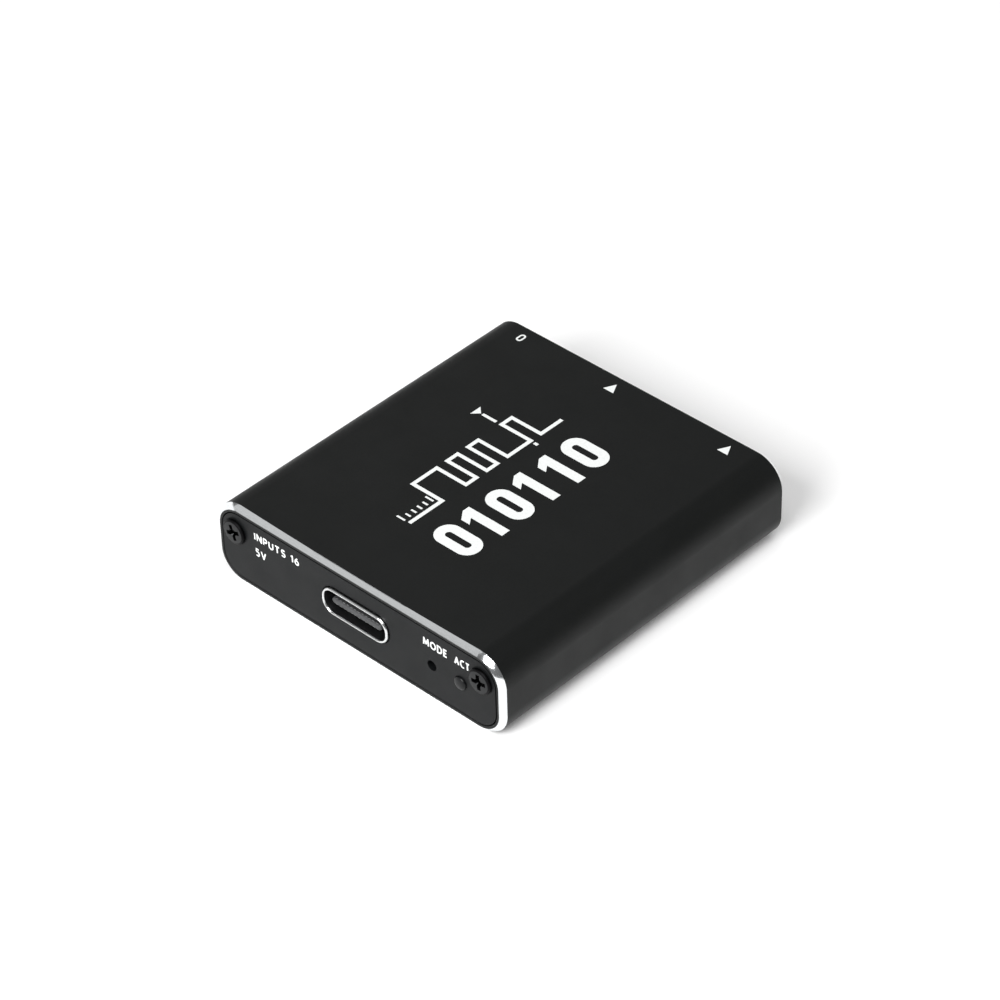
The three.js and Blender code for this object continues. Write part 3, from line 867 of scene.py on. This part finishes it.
# Centre lines of the letters on a grid one cap tall: (width, strokes, indices of closed strokes).
GLYPHS = {
    "A": (0.74, [[(0, 0), (0.37, 1), (0.74, 0)], [(0.13, 0.34), (0.61, 0.34)]], []),
    "C": (0.66, [ellipse((0.46, 0.5), (0.46, 0.5), 62, 298)], []),
    "D": (0.70, [[(0, 0), (0, 1), *ellipse((0.26, 0.5), (0.44, 0.5), 90, -90)]], [0]),
    "E": (0.50, [[(0.5, 1), (0, 1), (0, 0), (0.5, 0)], [(0, 0.52), (0.44, 0.52)]], []),
    "I": (0.02, [[(0.01, 0), (0.01, 1)]], []),
    "M": (0.84, [[(0, 0), (0.06, 1), (0.42, 0.22), (0.78, 1), (0.84, 0)]], []),
    "N": (0.66, [[(0, 0), (0, 1), (0.66, 0), (0.66, 1)]], []),
    "O": (0.84, [ellipse((0.42, 0.5), (0.42, 0.5), 0, 345, 23)], [0]),
    "P": (0.52, [[(0, 0), (0, 1)], [(0, 1), *BOWL_P, (0, 0.44)]], []),
    "S": (0.52, [[*UPPER_S, *LOWER_S]], []),
    "T": (0.66, [[(0, 1), (0.66, 1)], [(0.33, 1), (0.33, 0)]], []),
    "U": (0.62, [[(0, 1), *ellipse((0.31, 0.31), (0.31, 0.31), 180, 360), (0.62, 1)]], []),
    "V": (0.70, [[(0, 1), (0.35, 0), (0.7, 1)]], []),
    "0": (0.54, [ellipse((0.27, 0.5), (0.27, 0.5), 0, 345, 23)], [0]),
    "1": (0.26, [[(0, 0.8), (0.24, 1), (0.24, 0)]], []),
    "5": (0.50, [[(0.46, 1), (0.08, 1), (0.05, 0.56)], BOWL_5], []),
    "6": (0.54, [BOWL_6, [(0.01, 0.34), (0.08, 0.66), (0.38, 1)]], [0]),
    " ": (0.22, [], []),
}
LETTER_GAP = 0.4

# Points of a letter's line that lie closer than this are taken as one.
CLOSEST = 0.02


def front_plane(point, height):
    """Flat coordinates on the front panel: u along +X, v along +Z."""
    return (point.x, FRONT - height, point.y)


def straight_runs(points):
    """Splits a line where it turns back sharply."""
    runs = [[points[0]]]
    for before, here, after in zip(points, points[1:], points[2:]):
        runs[-1].append(here)
        turn = (Vector(here) - Vector(before)).angle(Vector(after) - Vector(here))
        if turn > math.radians(100):
            runs.append([here])
    runs[-1].append(points[-1])
    return runs


def drawn_line(name, points, stroke, closed):
    """A printed stroke whose sharp turns are rounded off."""
    if closed:
        return [raised_line(name, points, stroke, front_plane, closed=True)]
    runs = straight_runs(points)
    pieces = [raised_line(name, run, stroke, front_plane) for run in runs]
    for run in runs[1:]:
        outline = rounded(stroke, stroke, stroke / 2 - 0.002, run[0], 4)
        pieces.append(raised_shape(name, outline, front_plane))
    return pieces


def lettering(name, text, low, high, stroke):
    """Uniform-stroke capitals that fill the box from low to high on the front panel, as (x, z)."""
    advance = sum(GLYPHS[letter][0] + LETTER_GAP for letter in text) - LETTER_GAP
    tall = high[1] - low[1] - stroke
    wide = (high[0] - low[0] - stroke) / advance
    pieces = []
    cursor = 0
    for letter in text:
        width, strokes, closed = GLYPHS[letter]
        drawn = []
        for index, line in enumerate(strokes):
            points = []
            for u, v in line:
                x = low[0] + stroke / 2 + (cursor + u) * wide
                point = (x, low[1] + stroke / 2 + v * tall)
                if not points or (Vector(point) - Vector(points[-1])).length > CLOSEST:
                    points.append(point)
            drawn += drawn_line(name, points, stroke, index in closed)
        for extra in drawn[1:]:
            combine(drawn[0], extra, "UNION")
        pieces += drawn[:1]
        cursor += width + LETTER_GAP
    return merge(name, pieces)


def make_front_print():
    """Generic legends: the number of inputs, the supply, the key and the light."""
    thin = 0.18
    legends = [
        lettering("print_inputs", "INPUTS 16", (-13.98, 6.94), (-7.68, 7.9), thin),
        lettering("print_supply", "5V", (-13.93, 4.97), (-12.41, 5.97), thin),
        lettering("print_mode", "MODE", (9.13, 6.76), (12.34, 7.73), thin),
        lettering("print_act", "ACT", (13.24, 6.72), (15.28, 7.71), thin),
    ]
    return place(merge("front_print", legends), "panel_dark")


def square_wave(spans, start, low, high):
    """The corner points of a two-level trace that starts low and turns after each span."""
    points = [(start, low)]
    u = start
    level = low
    for span in spans[:-1]:
        u += span
        points.append((u, level))
        level = high if level == low else low
        points.append((u, level))
    points.append((u + spans[-1], level))
    return points


def figure_zero(middle, base, wide, tall, stroke):
    """A bold nought with a long counter."""
    centre = (middle, base + tall / 2)
    outer = rounded(wide, tall, wide / 2 - 0.02, centre, 12)
    inner = rounded(wide - 2 * stroke, tall - 2 * stroke, wide / 2 - stroke - 0.02, centre, 12)
    rings = []
    for outline, height in ((outer, 0), (outer, PRINT), (inner, PRINT), (inner, 0)):
        rings.append([top_plane(Vector(point), height) for point in outline])
    return loft("figure", rings, [INK], wrap=True)


def figure_one(middle, base, tall, stroke):
    """A bold one with a short flag."""
    left = middle - stroke * 0.35
    right = middle + stroke * 0.65
    flag = left - stroke * 0.75
    top = base + tall
    slope = [(left + 0.25, top), (flag, top - stroke * 0.75)]
    under = [(flag, top - stroke * 1.75), (left, top - stroke * 1.2)]
    outline = [(left, base), (right, base), (right, top), *slope, *under]
    return raised_shape("figure", outline, top_plane)


def make_trace():
    """A plain timing trace with a cursor, its handle, and a row of ticks."""
    start = -11.0
    cursor = 6.35
    spans = [4.6, 3.4, 1.5, 1.5, 1.5, 1.5, 3.4, 1.5, 3.1]
    trace = square_wave(spans, start, 1.9, 5.9)
    pieces = [raised_line("trace", trace, 0.44, top_plane)]
    for low, high in ((0.9, 1.4), (6.6, 8.5)):
        pieces.append(raised_line("cursor", [(cursor, low), (cursor, high)], 0.36, top_plane))
    handle = [(cursor - 0.75, 9.5), (cursor, 8.7), (cursor + 0.75, 9.5)]
    pieces.append(raised_shape("handle", handle, top_plane))
    tick_base = 2.5
    for tick in range(6):
        u = start + 0.8 * tick
        tall = 1.1 if tick % 5 == 0 else 0.7
        pieces.append(raised_line("tick", [(u, tick_base), (u, tick_base + tall)], 0.22, top_plane))
    return pieces


def make_top_print():
    """The timing trace, and a row of bits in bold figures."""
    pieces = make_trace()
    stroke = 1.12
    wide = 3.05
    tall = 5.5
    base = -6.2
    pitch = 3.66
    first = -11.23 + wide / 2
    for index, bit in enumerate((0, 1, 0, 1, 1, 0)):
        middle = first + pitch * index
        if bit:
            pieces.append(figure_one(middle, base, tall, stroke))
        else:
            pieces.append(figure_zero(middle, base, wide, tall, stroke))
    return place(merge("top_print", pieces), "case_black")


def make_edge_marks():
    """The first-channel figure and the two ground arrows at the probe edge."""
    stroke = 0.2
    ring = rounded(0.75 - stroke, 1.2 - stroke, 0.26, (-14.41, 18.38), 8)
    pieces = [raised_line("zero", ring, stroke, rear_reading, closed=True)]
    half = 0.68
    base = 17.67
    tip = 19.0
    for x in (-1.64, 13.62):
        arrow = [(x - half, base), (x + half, base), (x, tip)]
        pieces.append(raised_shape("arrow", arrow, rear_reading))
    return place(merge("edge_marks", pieces), "case_black")


# ------------------------------------------------------------------ stage, camera and light

VIEW_AZIMUTH = 44.286
VIEW_ELEVATION = 38.910
VIEW_ROLL = -1.668
VIEW_DISTANCE = 387.76
VIEW_AIM = (-0.873, 0.690, 6.117)
LENS_LENGTH = 140.08
LIT_POINT = (0, 0, 5)


def make_camera():
    """The camera that was fitted to the photo, with its small roll."""
    azimuth = math.radians(VIEW_AZIMUTH)
    elevation = math.radians(VIEW_ELEVATION)
    back = Vector(
        (
            math.sin(azimuth) * math.cos(elevation),
            -math.cos(azimuth) * math.cos(elevation),
            math.sin(elevation),
        )
    )
    level = Vector((math.cos(azimuth), math.sin(azimuth), 0))
    above = back.cross(level)
    roll = math.radians(VIEW_ROLL)
    right = level * math.cos(roll) + above * math.sin(roll)
    up = above * math.cos(roll) - level * math.sin(roll)
    data = bpy.data.cameras.new("camera")
    data.lens = LENS_LENGTH
    data.sensor_width = 36
    data.clip_start = 0.01
    camera = bpy.data.objects.new("camera", data)
    bpy.context.scene.collection.objects.link(camera)
    turn = Matrix((right, up, back)).transposed().to_4x4()
    camera.matrix_world = Matrix.Translation((Vector(VIEW_AIM) + back * VIEW_DISTANCE) * MM) @ turn
    bpy.context.scene.camera = camera


def make_floor():
    """A pale floor that glows a little, so that it reads as white."""
    size = 1500
    outline = [(-size, -size), (size, -size), (size, size), (-size, size)]
    nodes = Nodes("pale_floor").set(Roughness=0.9, Specular_IOR_Level=0.1, Emission_Strength=0.14)
    whites = between((0.86, 0.86, 0.86), (0.88, 0.88, 0.88))
    nodes.paint(nodes.colours(nodes.noise(40, 2.0), whites))
    under = 0.01
    thick = 20
    rings = [at_z(outline, -thick), at_z(outline, -under)]
    floor = loft("floor", rings, [nodes.material])


def softbox(name, toward, distance, size, power):
    """An area light at a distance in a direction, turned towards the middle of the object."""
    data = bpy.data.lights.new(name, "AREA")
    data.shape = "RECTANGLE"
    data.size = size[0] * MM
    data.size_y = size[1] * MM
    data.energy = power
    lamp = bpy.data.objects.new(name, data)
    bpy.context.scene.collection.objects.link(lamp)
    direction = Vector(toward).normalized()
    lamp.location = (Vector(LIT_POINT) + direction * distance) * MM
    lamp.rotation_euler = direction.to_track_quat("Z", "Y").to_euler()


def make_world():
    """A dim, even white surround."""
    world = bpy.data.worlds.new("studio")
    bpy.context.scene.world = world
    world.use_nodes = True
    background = world.node_tree.nodes["Background"]
    background.inputs["Color"].default_value = (1, 1, 1, 1)
    background.inputs["Strength"].default_value = 0.15


def make_stage():
    """Everything around the object. Light sizes are in mm and powers in watts."""
    make_camera()
    make_floor()
    make_world()
    softbox("key_box", (0.10, -0.79, 0.6), 900, (450, 450), 9)
    softbox("over_box", (0.35, -0.25, 0.9), 900, (500, 500), 3.8)
    softbox("front_card", (-0.62, -0.57, 0.546), 700, (300, 400), 0.18)
    softbox("low_left_card", (-0.93, -0.36, 0.12), 900, (700, 300), 0.7)
    softbox("back_card", (-0.72, 0.40, 0.60), 900, (600, 600), 0.6)
    bpy.context.scene.view_settings.view_transform = "Standard"


# ------------------------------------------------------------------ build

dress_cad_nodes()
make_housing_skin()
for case_side in (-1, 1):
    make_housing_ribs(case_side)
make_screw("front_screw_left", 20)
make_screw("front_screw_right", 6)
make_screw("rear_screw_left", 34)
make_screw("rear_screw_right", 69)
make_usb_shell()
make_usb_tongue()
make_usb_contacts()
make_lens()
make_front_print()
make_top_print()
make_edge_marks()
make_stage()
